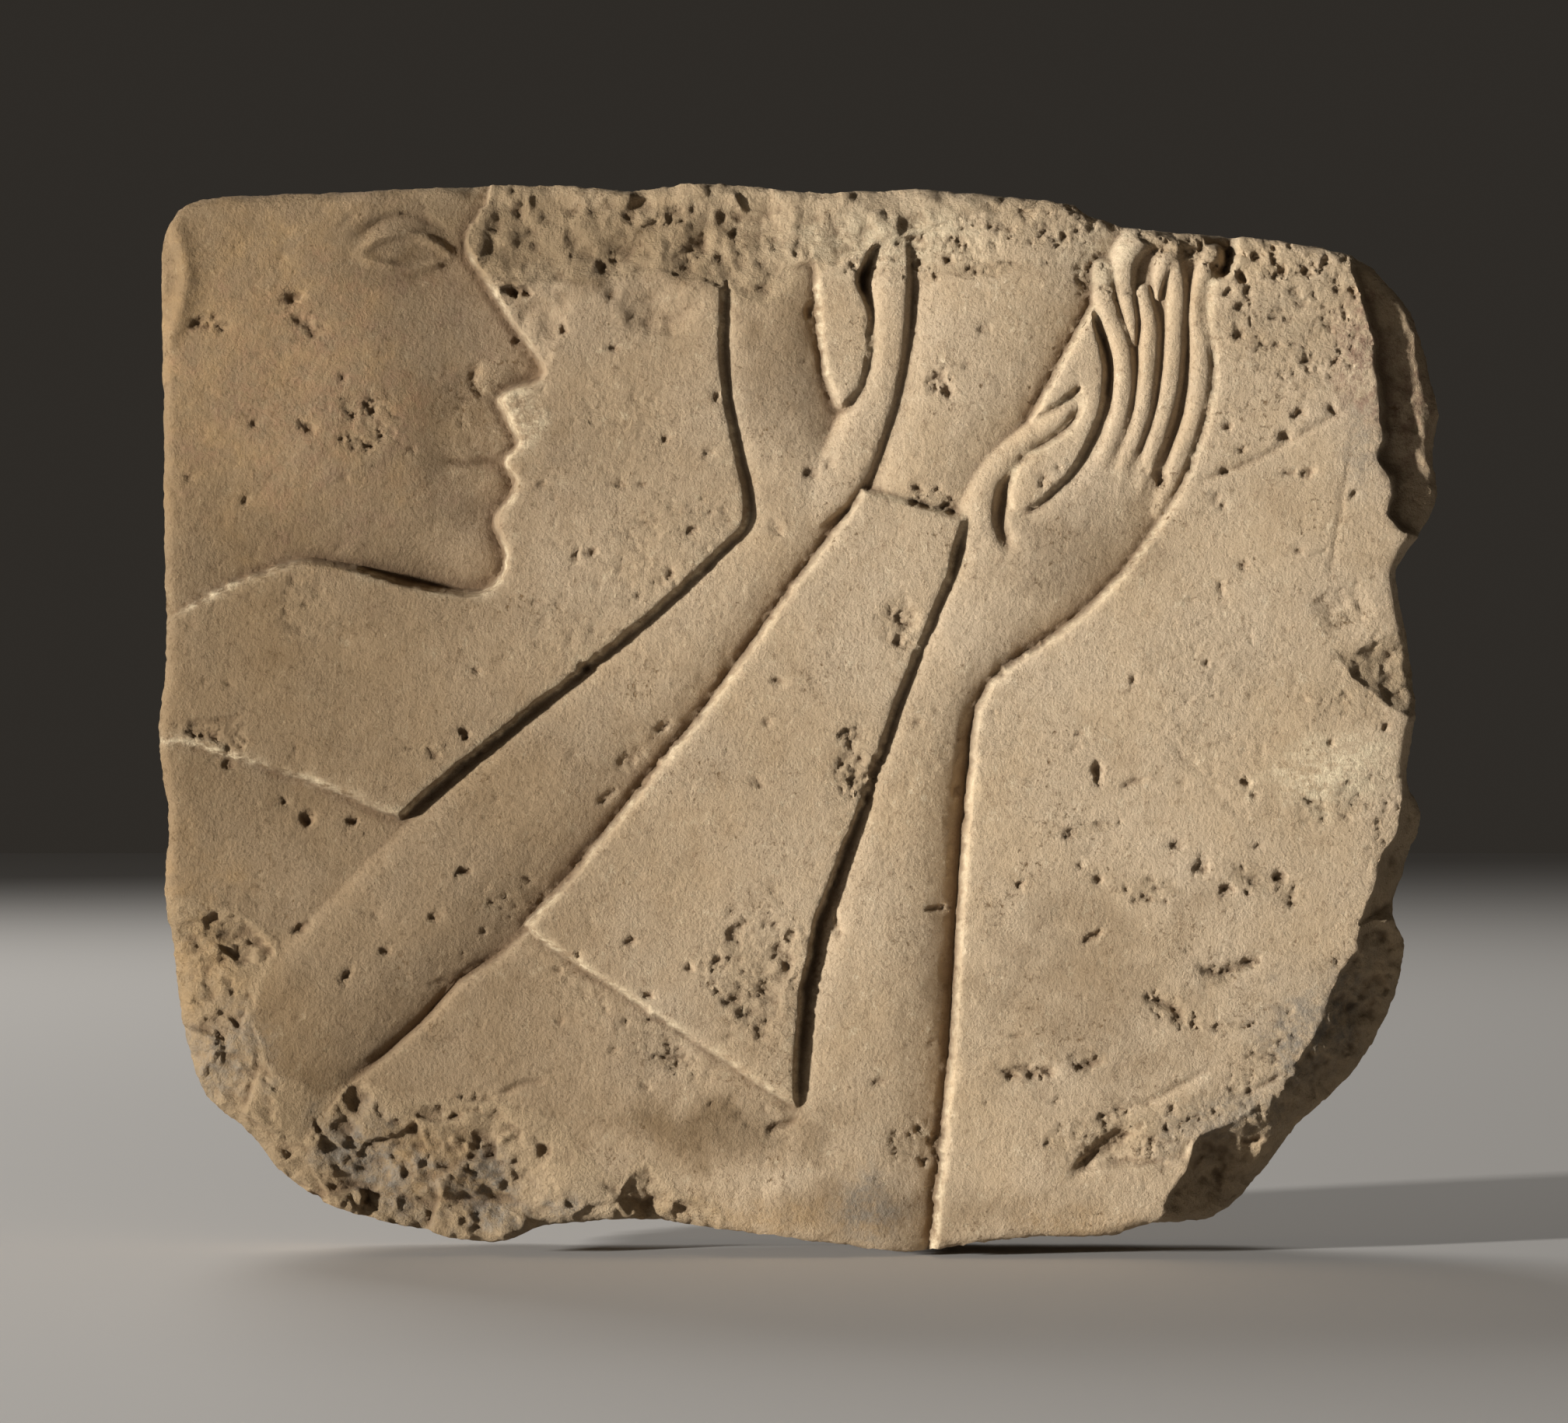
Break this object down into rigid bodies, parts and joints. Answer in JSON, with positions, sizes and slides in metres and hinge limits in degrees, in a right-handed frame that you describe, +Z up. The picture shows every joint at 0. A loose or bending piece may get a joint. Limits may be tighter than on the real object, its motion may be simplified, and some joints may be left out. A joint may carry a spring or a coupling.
{
  "type": "stone relief panel",
  "caption": "Broken limestone block carved in sunk relief with a head in profile and two raised arms with open hands, flat at the back to be set in a wall.",
  "frame": {"origin": "centre of the flat back that meets the wall", "axes": "+X to the right along the panel as seen from the front, +Y out of the flat back into the wall, so the carved face looks along -Y, +Z up"},
  "size_m": [0.2802, 0.046, 0.234],
  "materials": {
    "limestone": null
  },
  "bodies": {
    "root": {"stone_panel": "limestone"}
  },
  "joints": []
}
